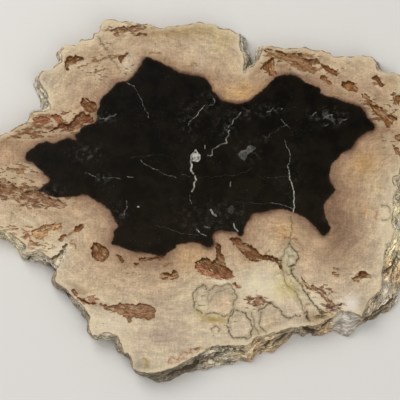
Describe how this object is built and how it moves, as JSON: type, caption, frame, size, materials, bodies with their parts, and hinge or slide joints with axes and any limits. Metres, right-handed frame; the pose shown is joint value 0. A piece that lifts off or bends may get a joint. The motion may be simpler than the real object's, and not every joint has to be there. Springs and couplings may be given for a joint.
{
  "type": "petrified wood slice",
  "caption": "Flat slab sawn across a petrified log, with a polished face over a black core and pale outer wood, shallow borings, a notch and a rough natural rim.",
  "frame": {"origin": "centre of the slice's outline, on the sawn back it rests on", "axes": "+X along the slice to its right end in the picture, +Y across it to the notched side, +Z out of the polished face"},
  "size_m": [0.2952, 0.2415, 0.014],
  "materials": {
    "petrified_wood": "polished face, matt natural rim and sawn back"
  },
  "bodies": {
    "root": {"petrified_wood_slice": "petrified_wood"}
  },
  "joints": []
}
